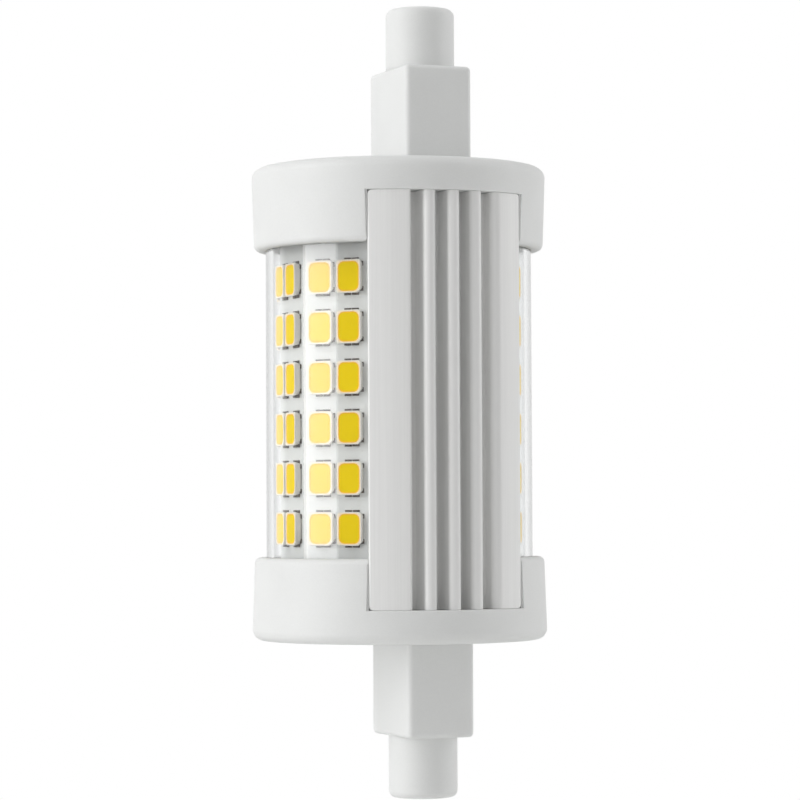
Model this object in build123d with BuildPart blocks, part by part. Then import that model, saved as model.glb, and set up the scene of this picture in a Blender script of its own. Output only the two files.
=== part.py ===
"""Double-ended LED lamp: a finned aluminium extrusion carries eight diode boards on its faceted core,
a clear C-shaped cover slides round them, and a moulded cap with an off-centre base closes each end."""

import os
from math import asin, cos, degrees, hypot, radians, sin, sqrt, tan

from build123d import *

# The lamp stands along Z with the middle of its round body at the origin, and its fins face -Y.
# Driving dimensions, in millimetres.

# Base at each end
overall_length = 78.0
nose_diameter = 6.8
nose_length = 6.05
nose_edge_radius = 0.7
neck_width = 7.0
neck_depth = 9.85
neck_length = 9.25
neck_corner_chamfer = 0.3
neck_shoulder_chamfer = 0.4
base_offset = 6.05
recess_diameter = 4.0
recess_depth = 2.6
contact_diameter = 3.4
contact_thickness = 0.8

# End caps
cap_length = 8.3
cap_step = 0.025
cap_draft = 0.225
cap_end_radius = 1.1
cap_open_radius = 0.6
cap_end_wall = 1.5
neck_wall = 1.2
tenon_wall = 0.6
chamber_width = 12.0
chamber_depth = 10.0
strip_groove_depth = 1.5

# Clear cover
cover_wall = 0.7
cover_opening = 14.35
cover_grip = 0.805

# Heat sink
sink_seat_depth = 4.95
fin_diameter = 29.1
rim_lip = 1.15
fin_count = 3
channel_pitch = 2.47
channel_width = 1.25
channel_depth = 3.8
fin_tip_radius = 0.35
sink_corner_radius = 0.45
core_wall = 2.0

# Diode boards on the facets that the fins leave free
board_count = 8
board_thickness = 0.8
board_end_margin = 0.9
diode_columns = 2
diode_rows = 6
diode_column_pitch = 3.25
diode_end_margin = 4.66
diode_width = 2.8
diode_length = 3.3
diode_height = 0.5
window_width = 2.4
window_length = 2.9
phosphor_thickness = 0.08

# Driver inside the core
liner_wall = 0.4
driver_board_thickness = 1.0
driver_board_offset = 3.0
driver_board_end_margin = 3.6
pad_length = 1.6
lead_strip_width = 1.0
lead_strip_thickness = 0.4
lead_strip_rise = 2.4
feed_strip_width = 1.6
feed_strip_thickness = 0.3
feed_strip_inset = 2.0
smoothing_capacitor_diameter = 6.3
smoothing_capacitor_length = 9.0
inductor_width = 5.6
inductor_height = 6.0
inductor_length = 5.6
film_capacitor_width = 7.2
film_capacitor_height = 5.4
film_capacitor_length = 2.8
rectifier_width = 4.7
rectifier_height = 2.4
rectifier_length = 3.8
fuse_width = 4.0
fuse_height = 4.5
fuse_length = 2.6
driver_chip_width = 3.9
driver_chip_height = 1.5
driver_chip_length = 4.9

# Clearances
slide_fit = 0.05
solder_gap = 0.05
diode_clearance = 0.4

# Heights worked out from the driving dimensions
tip_z = overall_length / 2
neck_top_z = tip_z - nose_length
cap_end_z = neck_top_z - neck_length
cap_open_z = cap_end_z - cap_length
sink_end_z = cap_open_z + sink_seat_depth
ledge_z = sink_end_z + slide_fit
chamber_top_z = cap_end_z - cap_end_wall
cavity_top_z = neck_top_z - neck_wall
recess_floor_z = tip_z - recess_depth
contact_seat_z = recess_floor_z - contact_thickness

# Radii and widths worked out from the driving dimensions
fin_radius = fin_diameter / 2
cap_open_diameter = fin_diameter + 2 * cap_step
cap_end_diameter = cap_open_diameter + 2 * cap_draft
cover_radius = fin_radius - rim_lip
cover_inner_radius = cover_radius - cover_wall
cover_seat_half_width = cover_opening / 2
flank_angle = asin(cover_seat_half_width / cover_inner_radius)
facet_angle = (360 - 2 * degrees(flank_angle)) / board_count
fin_span = 2 * (cover_seat_half_width + cover_grip)
diode_edge_x = (diode_column_pitch * (diode_columns - 1) + diode_width) / 2
diode_reach = sqrt((cover_inner_radius - diode_clearance) ** 2 - diode_edge_x**2)
board_face_apothem = diode_reach - diode_height
core_apothem = board_face_apothem - board_thickness
core_corner_radius = core_apothem / cos(radians(facet_angle / 2))
core_facet_width = 2 * core_apothem * tan(radians(facet_angle / 2))
board_width = core_facet_width - slide_fit
sink_bore_apothem = core_apothem - core_wall
liner_apothem = sink_bore_apothem - slide_fit
liner_inner_apothem = liner_apothem - liner_wall
liner_end_z = sink_end_z - slide_fit
driver_board_end_z = liner_end_z - driver_board_end_margin
driver_board_front_y = driver_board_offset - driver_board_thickness / 2
driver_board_back_y = driver_board_offset + driver_board_thickness / 2
driver_board_width = 2 * (sqrt(liner_inner_apothem**2 - driver_board_back_y**2) - slide_fit)
pad_start_z = driver_board_end_z - pad_length
feed_strip_y = driver_board_front_y - solder_gap - feed_strip_width / 2
board_end_z = sink_end_z - board_end_margin
diode_row_pitch = 2 * (board_end_z - diode_end_margin) / diode_rows
cavity_width = neck_width - 2 * neck_wall
cavity_depth = neck_depth - 2 * neck_wall
tenon_width = cavity_width + 2 * tenon_wall
tenon_depth = cavity_depth + 2 * tenon_wall

os.makedirs("parts", exist_ok=True)


def keep(builder, name):
    """Labels a finished piece and writes it under its own name."""
    builder.part.label = name
    export_step(builder.part, f"parts/{name}.step")


def facet_polygon(apothem, mode=Mode.ADD):
    """Adds the outline of the core to a sketch: a facet for each board and a flat side towards the fins."""
    corner_radius = apothem / cos(radians(facet_angle / 2))
    turns = [flank_angle + radians(facet_angle * step) for step in range(board_count + 1)]
    corners = [(corner_radius * sin(turn), -corner_radius * cos(turn)) for turn in turns]
    Polygon(*corners, align=None, mode=mode)


def rounded_corner(corner, radius, flats, z_side):
    """Points of a quarter round inside a profile's outer corner, from its side to its end.

    It is made of short flats, which stay within a tenth of a millimetre of the round."""
    centre_x = corner[0] - radius
    centre_z = corner[1] - z_side * radius
    turns = [radians(90 * step / flats) for step in range(flats + 1)]
    return [(centre_x + radius * cos(turn), centre_z + z_side * radius * sin(turn)) for turn in turns]


def bent_strip(points, width, thickness, across):
    """Sweeps a flat conductor along a bent route, its width lying across it."""
    with BuildPart() as strip:
        with BuildLine() as route:
            Polyline(*points)
        with BuildSketch(Plane(route.line @ 0, x_dir=across, z_dir=route.line % 0)):
            Rectangle(width, thickness)
        sweep(transition=Transition.RIGHT)
    return strip


# Heat sink: rims and fins first, with rounded end corners, then the hollow faceted core behind them
with BuildPart() as heat_sink:
    with BuildSketch(Plane.XY.offset(-sink_end_z)) as fin_block:
        with Locations((0, -fin_radius)):
            Rectangle(2 * cover_seat_half_width, fin_radius, align=(Align.CENTER, Align.MIN))
        root_x = core_corner_radius * sin(flank_angle)
        root_y = -core_corner_radius * cos(flank_angle)
        seat_y = -cover_inner_radius * cos(flank_angle)
        for side in (-1, 1):
            with BuildLine():
                Polyline(
                    (side * cover_seat_half_width, 0),
                    (side * cover_seat_half_width, seat_y),
                    (side * root_x, root_y),
                    (side * root_x, 0),
                    close=True,
                )
            make_face(mode=Mode.SUBTRACT)
        with BuildSketch(mode=Mode.PRIVATE) as lips:
            Circle(fin_radius)
            Circle(cover_radius + slide_fit, mode=Mode.SUBTRACT)
            Rectangle(fin_span, fin_diameter, align=(Align.CENTER, Align.MAX), mode=Mode.INTERSECT)
        add(lips.sketch)
        Circle(fin_radius, mode=Mode.INTERSECT)
        channel_y = -fin_radius + channel_depth - channel_width / 2
        with Locations((0, channel_y)):
            with GridLocations(channel_pitch, 1, fin_count + 1, 1):
                Circle(channel_width / 2, mode=Mode.SUBTRACT)
                Rectangle(channel_width, channel_depth, align=(Align.CENTER, Align.MAX), mode=Mode.SUBTRACT)
        tips = fin_block.vertices().filter_by(lambda v: hypot(v.X, v.Y) > fin_radius - slide_fit)
        fillet(tips, fin_tip_radius)
    extrude(amount=2 * sink_end_z)
    with BuildSketch(Plane.XZ):
        RectangleRounded(fin_span, 2 * sink_end_z, sink_corner_radius)
    extrude(amount=fin_diameter, both=True, mode=Mode.INTERSECT)
    with BuildSketch(Plane.XY.offset(-sink_end_z)):
        facet_polygon(core_apothem)
    extrude(amount=2 * sink_end_z)
    with BuildSketch(Plane.XY.offset(-sink_end_z)):
        facet_polygon(sink_bore_apothem)
    extrude(amount=2 * sink_end_z, mode=Mode.SUBTRACT)
keep(heat_sink, "heat_sink")

# Clear cover: a tube slit lengthwise, its two edges held under the rims of the heat sink
with BuildPart() as clear_cover:
    with BuildSketch(Plane.XY.offset(-sink_end_z)):
        Circle(cover_radius)
        Circle(cover_inner_radius, mode=Mode.SUBTRACT)
        slit = 2 * (cover_seat_half_width + slide_fit)
        Rectangle(slit, 2 * cover_radius, align=(Align.CENTER, Align.MAX), mode=Mode.SUBTRACT)
    extrude(amount=2 * sink_end_z)
keep(clear_cover, "clear_cover")

# End cap: drafted cup, slotted where the heat sink shows
with BuildPart() as upper_end_cap:
    with BuildSketch(Plane.XZ):
        with BuildLine():
            open_round = rounded_corner((cap_open_diameter / 2, cap_open_z), cap_open_radius, 1, -1)
            end_round = rounded_corner((cap_end_diameter / 2, cap_end_z), cap_end_radius, 2, 1)
            Polyline((0, cap_open_z), *reversed(open_round), *end_round, (0, cap_end_z), close=True)
        make_face()
    revolve(axis=Axis.Z)
    # Seat for the cover and the core, closed by the ledge that both meet
    with BuildSketch(Plane.XY.offset(ledge_z)):
        Circle(cover_radius + slide_fit)
    extrude(amount=cap_open_z - ledge_z, mode=Mode.SUBTRACT)
    # Slot for the heat sink, open towards the middle of the lamp
    with BuildSketch(Plane.XZ) as slot:
        with Locations((0, ledge_z)):
            Rectangle(fin_span + 2 * slide_fit, 2 * sink_seat_depth, align=(Align.CENTER, Align.MAX))
        fillet(slot.vertices().group_by(Axis.Z)[-1], sink_corner_radius)
    extrude(amount=cap_end_diameter, mode=Mode.SUBTRACT)
    # Chamber above the core's bore, with the well below the neck and the groove for the feed strips
    with BuildSketch(Plane.XY.offset(ledge_z)):
        Rectangle(chamber_width, chamber_depth)
        with Locations((0, -base_offset)):
            Rectangle(cavity_width, cavity_depth)
    extrude(amount=chamber_top_z - ledge_z, mode=Mode.SUBTRACT)
    with BuildSketch(Plane.XY.offset(ledge_z)):
        with Locations((0, feed_strip_y)):
            Rectangle(2 * cover_inner_radius, feed_strip_width + 2 * slide_fit)
    extrude(amount=strip_groove_depth, mode=Mode.SUBTRACT)
    # Hole in the end wall for the tenon of the neck
    with BuildSketch(Plane.XY.offset(chamber_top_z)):
        with Locations((0, -base_offset)):
            Rectangle(tenon_width + 2 * slide_fit, tenon_depth + 2 * slide_fit)
    extrude(amount=cap_end_wall, mode=Mode.SUBTRACT)
keep(upper_end_cap, "upper_end_cap")

# Neck: a hollow block on the cap, held by a tenon in its end wall and closed at the top
with BuildPart() as upper_neck:
    with BuildSketch(Plane.XY.offset(cap_end_z)):
        with Locations((0, -base_offset)):
            Rectangle(neck_width, neck_depth)
    extrude(amount=neck_length)
    chamfer(upper_neck.edges().filter_by(Axis.Z), neck_corner_chamfer)
    chamfer(upper_neck.faces().sort_by(Axis.Z)[-1].edges(), neck_shoulder_chamfer)
    with BuildSketch(Plane.XY.offset(cap_end_z)):
        with Locations((0, -base_offset)):
            Rectangle(tenon_width, tenon_depth)
    extrude(amount=slide_fit - cap_end_wall)
    with BuildSketch(Plane.XY.offset(chamber_top_z)):
        with Locations((0, -base_offset)):
            Rectangle(cavity_width, cavity_depth)
    extrude(amount=cavity_top_z - chamber_top_z, mode=Mode.SUBTRACT)
    with BuildSketch(Plane.XY.offset(cavity_top_z)):
        with Locations((0, -base_offset)):
            Rectangle(lead_strip_width + 2 * slide_fit, lead_strip_thickness + 2 * slide_fit)
    extrude(amount=neck_wall, mode=Mode.SUBTRACT)
keep(upper_neck, "upper_neck")

# Nose: a round boss with its edge rounded, recessed for the contact and slit for the lead strip
with BuildPart() as upper_nose:
    with BuildSketch(Plane.XZ.offset(base_offset)):
        with BuildLine():
            tip_round = rounded_corner((nose_diameter / 2, tip_z), nose_edge_radius, 2, 1)
            Polyline((0, neck_top_z), (nose_diameter / 2, neck_top_z), *tip_round, (0, tip_z), close=True)
        make_face()
    revolve(axis=Axis.Z.located(Pos(0, -base_offset, 0)))
    with Locations((0, -base_offset, tip_z)):
        Hole(recess_diameter / 2, recess_depth)
    with Locations((0, -base_offset, recess_floor_z)):
        Hole(contact_diameter / 2 + slide_fit, contact_thickness)
    with BuildSketch(Plane.XY.offset(neck_top_z)):
        with Locations((0, -base_offset)):
            Rectangle(lead_strip_width + 2 * slide_fit, lead_strip_thickness + 2 * slide_fit)
    extrude(amount=contact_seat_z - neck_top_z, mode=Mode.SUBTRACT)
keep(upper_nose, "upper_nose")

# Contact: a disc let into the floor of the recess
with BuildPart() as upper_contact:
    with BuildSketch(Plane.XY.offset(contact_seat_z)):
        with Locations((0, -base_offset)):
            Circle(contact_diameter / 2)
    extrude(amount=contact_thickness)
keep(upper_contact, "upper_contact")

# The lower end is made of the same pieces, turned end for end
for piece in (upper_end_cap, upper_neck, upper_nose, upper_contact):
    with BuildPart() as turned:
        add(piece.part.rotate(Axis.Y, 180))
    keep(turned, piece.part.label.replace("upper", "lower"))

# Diode boards: one strip on each free facet of the core, with its packages and their phosphor fillings
first_facet = 180 - facet_angle * (board_count - 1) / 2
for number in range(1, board_count + 1):
    angle = radians(first_facet + facet_angle * (number - 1))
    outward = Vector(sin(angle), -cos(angle), 0)
    along = Vector(cos(angle), sin(angle), 0)
    facet = Plane(outward * core_apothem, x_dir=along, z_dir=outward)
    board_face = facet.offset(board_thickness)
    diode_places = GridLocations(diode_column_pitch, diode_row_pitch, diode_columns, diode_rows)

    with BuildPart() as led_board:
        with BuildSketch(facet):
            Rectangle(board_width, 2 * board_end_z)
        extrude(amount=board_thickness)
    keep(led_board, f"led_board_{number}")

    with BuildPart() as led_housings:
        with BuildSketch(board_face):
            with diode_places:
                Rectangle(diode_width, diode_length)
        extrude(amount=diode_height - phosphor_thickness)
    keep(led_housings, f"led_housings_{number}")

    with BuildPart() as led_phosphors:
        with BuildSketch(board_face.offset(diode_height - phosphor_thickness)):
            with diode_places:
                Rectangle(window_width, window_length)
        extrude(amount=phosphor_thickness)
    keep(led_phosphors, f"led_phosphors_{number}")

# Insulating liner, folded to the bore of the core
with BuildPart() as driver_liner:
    with BuildSketch(Plane.XY.offset(-liner_end_z)):
        facet_polygon(liner_apothem)
        facet_polygon(liner_inner_apothem, mode=Mode.SUBTRACT)
    extrude(amount=2 * liner_end_z)
keep(driver_liner, "driver_liner")

# Driver board, held by its long edges in the liner
front_face = Plane((0, driver_board_front_y, 0), x_dir=(1, 0, 0), z_dir=(0, -1, 0))
back_face = Plane((0, driver_board_back_y, 0), x_dir=(-1, 0, 0), z_dir=(0, 1, 0))
with BuildPart() as driver_board:
    with BuildSketch(front_face):
        Rectangle(driver_board_width, 2 * driver_board_end_z)
    extrude(amount=-driver_board_thickness)
keep(driver_board, "driver_board")

# Places along the front of the board, which the components share evenly
front_lengths = (smoothing_capacitor_length, inductor_length, film_capacitor_length, fuse_length)
component_gap = (2 * pad_start_z - sum(front_lengths)) / (len(front_lengths) + 1)
front_places = []
next_z = -pad_start_z
for length in front_lengths:
    front_places.append(next_z + component_gap + length / 2)
    next_z += component_gap + length
capacitor_z, inductor_z, film_capacitor_z, fuse_z = front_places

# Smoothing capacitor: a can lying on the board
with BuildPart() as smoothing_capacitor:
    can_y = driver_board_front_y - solder_gap - smoothing_capacitor_diameter / 2
    with BuildSketch(Plane.XY.offset(capacitor_z - smoothing_capacitor_length / 2)):
        with Locations((0, can_y)):
            Circle(smoothing_capacitor_diameter / 2)
    extrude(amount=smoothing_capacitor_length)
keep(smoothing_capacitor, "smoothing_capacitor")

# Block components: name, face of the board, place along it, then width, length and height
blocks = (
    ("inductor", front_face, inductor_z, inductor_width, inductor_length, inductor_height),
    (
        "film_capacitor",
        front_face,
        film_capacitor_z,
        film_capacitor_width,
        film_capacitor_length,
        film_capacitor_height,
    ),
    ("input_fuse", front_face, fuse_z, fuse_width, fuse_length, fuse_height),
    ("bridge_rectifier", back_face, film_capacitor_z, rectifier_width, rectifier_length, rectifier_height),
    ("driver_chip", back_face, inductor_z, driver_chip_width, driver_chip_length, driver_chip_height),
)
for name, face, place_z, width, length, height in blocks:
    with BuildPart() as block:
        with BuildSketch(face):
            with Locations((0, place_z)):
                Rectangle(width, length)
        extrude(amount=height)
    keep(block, name)

# Lead strips: from the driver board through the chamber and the neck of a cap to its contact
lead_strip_y = driver_board_front_y - solder_gap - lead_strip_thickness / 2
lead_route = (
    (0, lead_strip_y, pad_start_z),
    (0, lead_strip_y, driver_board_end_z),
    (0, -base_offset, chamber_top_z + lead_strip_rise),
    (0, -base_offset, contact_seat_z),
)
upper_lead_strip = bent_strip(lead_route, lead_strip_width, lead_strip_thickness, across=(1, 0, 0))
keep(upper_lead_strip, "upper_lead_strip")

with BuildPart() as lower_lead_strip:
    add(upper_lead_strip.part.rotate(Axis.Y, 180))
keep(lower_lead_strip, "lower_lead_strip")

# Feed strips: from the driver board over the end of the core, through the cap's groove, onto a side board.
# The side boards lean a little, so each strip is set off from its board where the two come closest.
side_turn = radians(first_facet + facet_angle)
strip_edge_y = feed_strip_y + feed_strip_width / 2
side_face_x = (board_face_apothem + strip_edge_y * cos(side_turn)) / sin(side_turn)
inner_leg_x = driver_board_width / 2 - feed_strip_inset
outer_leg_x = side_face_x + solder_gap + feed_strip_thickness / 2
bridge_z = ledge_z + strip_groove_depth / 2
for side, name in ((1, "positive_feed_strip"), (-1, "negative_feed_strip")):
    feed_route = (
        (side * inner_leg_x, feed_strip_y, pad_start_z),
        (side * inner_leg_x, feed_strip_y, bridge_z),
        (side * outer_leg_x, feed_strip_y, bridge_z),
        (side * outer_leg_x, feed_strip_y, board_end_z - pad_length),
    )
    feed_strip = bent_strip(feed_route, feed_strip_width, feed_strip_thickness, across=(0, 1, 0))
    keep(feed_strip, name)
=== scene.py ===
"""Dresses a double-ended LED lamp: moulded caps and bases, a finned aluminium heat sink, a clear cover
and eight boards of diode packages, with a plain white studio round it."""

from functools import partial
from math import asin, atan2, cos, degrees, hypot, pi, radians, sin, sqrt

import bmesh
import bpy
from bpy.props import FloatProperty, FloatVectorProperty, IntProperty, PointerProperty
from mathutils import Matrix, Vector


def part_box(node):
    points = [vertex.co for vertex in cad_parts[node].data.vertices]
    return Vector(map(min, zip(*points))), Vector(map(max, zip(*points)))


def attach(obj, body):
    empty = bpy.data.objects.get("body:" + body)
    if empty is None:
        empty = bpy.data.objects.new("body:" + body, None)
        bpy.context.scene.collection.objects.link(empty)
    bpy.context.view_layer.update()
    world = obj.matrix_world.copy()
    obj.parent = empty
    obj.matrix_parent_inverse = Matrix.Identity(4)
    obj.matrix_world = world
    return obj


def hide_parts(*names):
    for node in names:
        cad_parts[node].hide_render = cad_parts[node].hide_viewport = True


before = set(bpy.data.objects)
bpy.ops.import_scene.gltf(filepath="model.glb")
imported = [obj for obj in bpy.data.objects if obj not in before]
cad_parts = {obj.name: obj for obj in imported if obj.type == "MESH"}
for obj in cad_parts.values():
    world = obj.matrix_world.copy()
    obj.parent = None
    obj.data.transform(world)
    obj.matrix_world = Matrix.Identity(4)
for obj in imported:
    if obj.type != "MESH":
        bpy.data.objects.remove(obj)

bl_info = {
    "name": "Double-ended LED lamp",
    "version": (1, 0, 0),
    "blender": (4, 5, 0),
    "location": "View3D > Sidebar > Lamp",
    "description": "Makes the visible pieces of a double-ended LED lamp around its CAD solids",
    "category": "Object",
}

MM = 0.001
BODY = "root"

# Boxes of the CAD solids that the pieces are fitted to, in metres
CAP_LOW, CAP_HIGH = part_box("upper_end_cap")
NECK_LOW, NECK_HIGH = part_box("upper_neck")
NOSE_LOW, NOSE_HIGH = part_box("upper_nose")
CONTACT_LOW, CONTACT_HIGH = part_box("upper_contact")
SINK_LOW, SINK_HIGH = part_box("heat_sink")
COVER_LOW, COVER_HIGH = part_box("clear_cover")
HOUSING_LOW, HOUSING_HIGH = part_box("led_housings_1")

# Walls, fits and steps that several pieces share
CAP_END_WALL = 1.5 * MM
NECK_WALL = 1.2 * MM
TENON_WALL = 0.6 * MM
COVER_WALL = 0.7 * MM
BOARD_THICKNESS = 0.8 * MM
SEAT_HALF_WIDTH = 7.175 * MM
SLIT_WIDTH, SLIT_DEPTH = 1.1 * MM, 0.5 * MM
SLIDE_FIT = 0.05 * MM
SLOT_FIT = 0.015 * MM
SEAT_FIT = 0.005 * MM
CAP_STEPS, NOSE_STEPS, ARC_STEPS = 144, 96, 8

# Places worked out from those boxes and walls
BASE_Y = (NOSE_LOW.y + NOSE_HIGH.y) / 2
SEAT_RADIUS = COVER_HIGH.x + SEAT_FIT
LEDGE_Z = SINK_HIGH.z + SLIDE_FIT
SLOT_TOP = SINK_HIGH.z + SLOT_FIT
CHAMBER_TOP = CAP_HIGH.z - CAP_END_WALL
FIN_RADIUS = -SINK_LOW.y
COVER_INNER = COVER_HIGH.x - COVER_WALL

# The core turns one facet to each board and leaves a front sector to the fins
BOARDS = 8
FRONT_TURN = asin(SEAT_HALF_WIDTH / COVER_INNER)
FACET_STEP = 2 * (pi - FRONT_TURN) / BOARDS
FIRST_BOARD = FRONT_TURN + FACET_STEP / 2
CORE_CORNER = SINK_HIGH.y
CORE_APOTHEM = CORE_CORNER * cos(FACET_STEP / 2)
BOARD_FACE = CORE_APOTHEM + BOARD_THICKNESS


def linear(code):
    """Turns an sRGB hex colour into linear red, green, blue and alpha."""
    parts = [int(code[at : at + 2], 16) / 255 for at in (0, 2, 4)]
    return (*(p / 12.92 if p <= 0.04045 else ((p + 0.055) / 1.055) ** 2.4 for p in parts), 1.0)


def shades(tone, share):
    """Gives a tone and the same tone with its brightness scaled."""
    return tuple(tone), (*(part * share for part in tone[:3]), 1.0)


def per_mm(size):
    """Gives the texture scale for a pattern of that size in millimetres on Object coordinates."""
    return 1 / (size * MM)


def length(name, text, size):
    """Declares a length in millimetres that a user may change."""
    shown = {"precision": 5, "subtype": "DISTANCE", "unit": "LENGTH"}
    return FloatProperty(name=name, description=text, default=size * MM, min=0.0, **shown)


def angle(name, text, turn):
    """Declares an angle in degrees that a user may change."""
    return FloatProperty(name=name, description=text, default=radians(turn), subtype="ANGLE")


def level(name, text, brightness):
    """Declares a brightness that a user may change."""
    return FloatProperty(name=name, description=text, default=brightness, min=0.0, max=10.0)


def repeats(name, text, number, lowest, highest):
    """Declares a number of repeats that a user may change."""
    return IntProperty(name=name, description=text, default=number, min=lowest, max=highest)


def colour(name, text, code):
    """Declares a colour that a user may change."""
    shown = {"size": 4, "min": 0.0, "max": 1.0, "subtype": "COLOR"}
    return FloatVectorProperty(name=name, description=text, default=linear(code), **shown)


class LampCapSettings(bpy.types.PropertyGroup):
    """Roundings and colour of the moulded ends."""

    end_radius: length("End rounding", "Radius of the cap's outer rim", 1.1)
    open_radius: length("Open rounding", "Radius of the cap's edge towards the cover", 0.6)
    open_diameter: length("Open diameter", "Width of the drafted cap at its open edge", 29.15)
    neck_radius: length("Neck rounding", "Radius of the neck's edges", 0.5)
    nose_radius: length("Nose rounding", "Radius of the nose's outer edge", 0.7)
    recess_radius: length("Recess radius", "Radius of the contact recess in the nose", 2.0)
    slot_radius: length("Slot rounding", "Radius of the slot's outer edges", 0.12)
    slot_taper: length("Slot taper", "How much wider each side of the slot is at its closed end", 0.24)
    shelf_drop: length("Shelf drop", "How far the slot's shelf lies below the face of the heat sink", 0.06)
    plastic: colour("Plastic", "Colour of the moulded plastic", "EDEEED")


class LampSinkSettings(bpy.types.PropertyGroup):
    """Profile and colour of the heat sink."""

    half_span: length("Half span", "Half the width over both rims", 7.98)
    fins: repeats("Fins", "Number of fins between the rims", 3, 1, 5)
    channel_pitch: length("Channel pitch", "Distance between channels", 2.42)
    channel_width: length("Channel width", "Width of a channel", 1.16)
    channel_shift: length("Channel shift", "How far the channels lie to the right of the middle", 0.15)
    rim_start: length("Rim start", "From the middle of the channels to the inner side of a rim", 4.28)
    channel_depth: length("Channel depth", "Depth of a channel below the fin tips", 3.2)
    tip_radius: length("Tip rounding", "Radius of the edges of the fins", 0.6)
    edge_radius: length("Edge rounding", "Radius of the edges of the rims", 0.25)
    soft_radius: length("Soft rounding", "Radius of the right rim's edge towards the channels", 0.7)
    corner_radius: length("Corner rounding", "Radius of the rims' corners at both ends", 0.4)
    undercut: length("Undercut", "How far the rims' sides lean in towards the cover", 0.45)
    core_wall: length("Core wall", "Wall of the hollow core", 2.0)
    metal: colour("Metal", "Colour of the extruded aluminium", "F5F5F4")


class LampCoverSettings(bpy.types.PropertyGroup):
    """Steps and tints of the clear cover."""

    segments: repeats("Segments", "Steps round the cover", 220, 64, 512)
    plastic: colour("Plastic", "Tint of the clear plastic", "FBFCFC")
    edge: colour("Edge", "Tint of the clear plastic where it is seen along its wall", "9EA0A0")


class LampDiodeSettings(bpy.types.PropertyGroup):
    """Sizes and colours of the diode packages."""

    columns: repeats("Columns", "Packages across a board", 2, 1, 4)
    rows: repeats("Rows", "Packages along a board", 6, 2, 12)
    column_pitch: length("Column pitch", "Distance between the columns of a board", 3.25)
    width: length("Width", "Width of a package", 2.8)
    height: length("Length", "Length of a package along the lamp", 3.3)
    rise: length("Rise", "Height of a package above its board", 0.65)
    draft: length("Draft", "How far the sides of a package lean in towards its foot", 0.17)
    window_width: length("Window width", "Width of the phosphor window", 2.4)
    window_height: length("Window length", "Length of the phosphor window", 2.97)
    window_radius: length("Window rounding", "Radius of the window's corners", 0.62)
    notch: length("Notch", "Size of the cut corner that marks the polarity", 0.34)
    lift: length("Lift", "Gap of solder below a package", 0.05)
    drop: length("Drop", "How far the packages sit below the middle of their boards", 0.17)
    housing: colour("Housing", "Colour of the moulded housing", "F3F1ED")
    phosphor: colour("Phosphor", "Colour of the phosphor away from its edge", "EFD00C")
    halo: colour("Halo", "Colour of the phosphor near its edge", "F5BC34")
    board: colour("Board", "Colour of the white solder mask", "EEEFEE")


class LampStageSettings(bpy.types.PropertyGroup):
    """Camera and light of the studio."""

    lens: FloatProperty(
        name="Lens", description="Focal length on a 36 mm sensor", default=148.187, unit="CAMERA"
    )
    distance: length("Distance", "From the camera to the middle of the lamp", 332.193)
    azimuth: angle("Azimuth", "Turn of the camera round the lamp", -21.634)
    elevation: angle("Elevation", "Height angle of the camera", -1.728)
    roll: angle("Roll", "Turn of the picture", 0.25)
    aim_right: length("Aim right", "Aim point to the right of the lamp's middle", 0.1)
    aim_up: length("Aim up", "Aim point above the lamp's middle", 0.39)
    ambient: level("Ambient", "Brightness of the room above and below", 0.52)
    horizon: level("Horizon", "Brightness of the room at the lamp's height", 0.15)
    front: level("Front", "Brightness of the room behind the camera", 0.75)
    wall: level("Wall", "Brightness of the wall behind the lamp in reflections", 1.0)
    softbox: level("Softbox", "Brightness of the left softbox", 2.65)
    softbox_turn: angle("Softbox turn", "Turn of the left softbox round the lamp", -94)
    fill: level("Fill", "Brightness of the right fill", 1.25)
    fill_turn: angle("Fill turn", "Turn of the right fill round the lamp", 80)
    floor_drop: length("Floor drop", "Distance of the floor below the lamp", 120.0)


def add_node(tree, kind, inputs=None, **settings):
    """Adds a node, sets its properties and fills its inputs with values, sockets or results of nodes."""
    node = tree.nodes.new(kind)
    for name, value in settings.items():
        setattr(node, name, value)
    for key, value in (inputs or {}).items():
        if isinstance(value, bpy.types.Node):
            value = next(socket for socket in value.outputs if socket.enabled)
        if isinstance(value, bpy.types.NodeSocket):
            tree.links.new(value, node.inputs[key])
        else:
            node.inputs[key].default_value = value
    return node


def start_material(name):
    """Gives a material with an empty tree and the function that adds nodes to it."""
    material = bpy.data.materials.new(name)
    material.use_nodes = True
    material.node_tree.nodes.clear()
    return material, partial(add_node, material.node_tree)


def patterned(name, tones, roughness, grain_mm, bump_mm, stretch=(1, 1, 1), patch_mm=6.0, **fixed):
    """Makes a material of two near tones in soft patches, with a fine grain in its relief and its gloss."""
    material, add = start_material(name)
    place = add("ShaderNodeTexCoord").outputs["Object"]
    scaled = add("ShaderNodeMapping", {"Vector": place, "Scale": stretch})
    grain = add("ShaderNodeTexNoise", {"Vector": scaled, "Scale": per_mm(grain_mm), "Detail": 3.0})
    patch = add("ShaderNodeTexNoise", {"Vector": scaled, "Scale": per_mm(patch_mm), "Detail": 2.0})
    both = add("ShaderNodeMath", {0: patch, 1: grain}, operation="ADD")
    share = add("ShaderNodeMapRange", {"Value": both, "From Min": 0.6, "From Max": 1.4})
    # A mix takes two colours at its inputs 6 and 7, or two values at 2 and 3
    tone = add("ShaderNodeMix", {"Factor": share, 6: tones[0], 7: tones[1]}, data_type="RGBA")
    spread = {"From Min": 0.3, "From Max": 0.7, "To Min": roughness[0], "To Max": roughness[1]}
    gloss = add("ShaderNodeMapRange", {"Value": grain, **spread})
    relief = add("ShaderNodeBump", {"Height": grain, "Distance": bump_mm * MM, "Strength": 1.0})
    surface = {"Base Color": tone, "Roughness": gloss, "Normal": relief, **fixed}
    shader = add("ShaderNodeBsdfPrincipled", surface)
    add("ShaderNodeOutputMaterial", {"Surface": shader})
    return material


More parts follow.
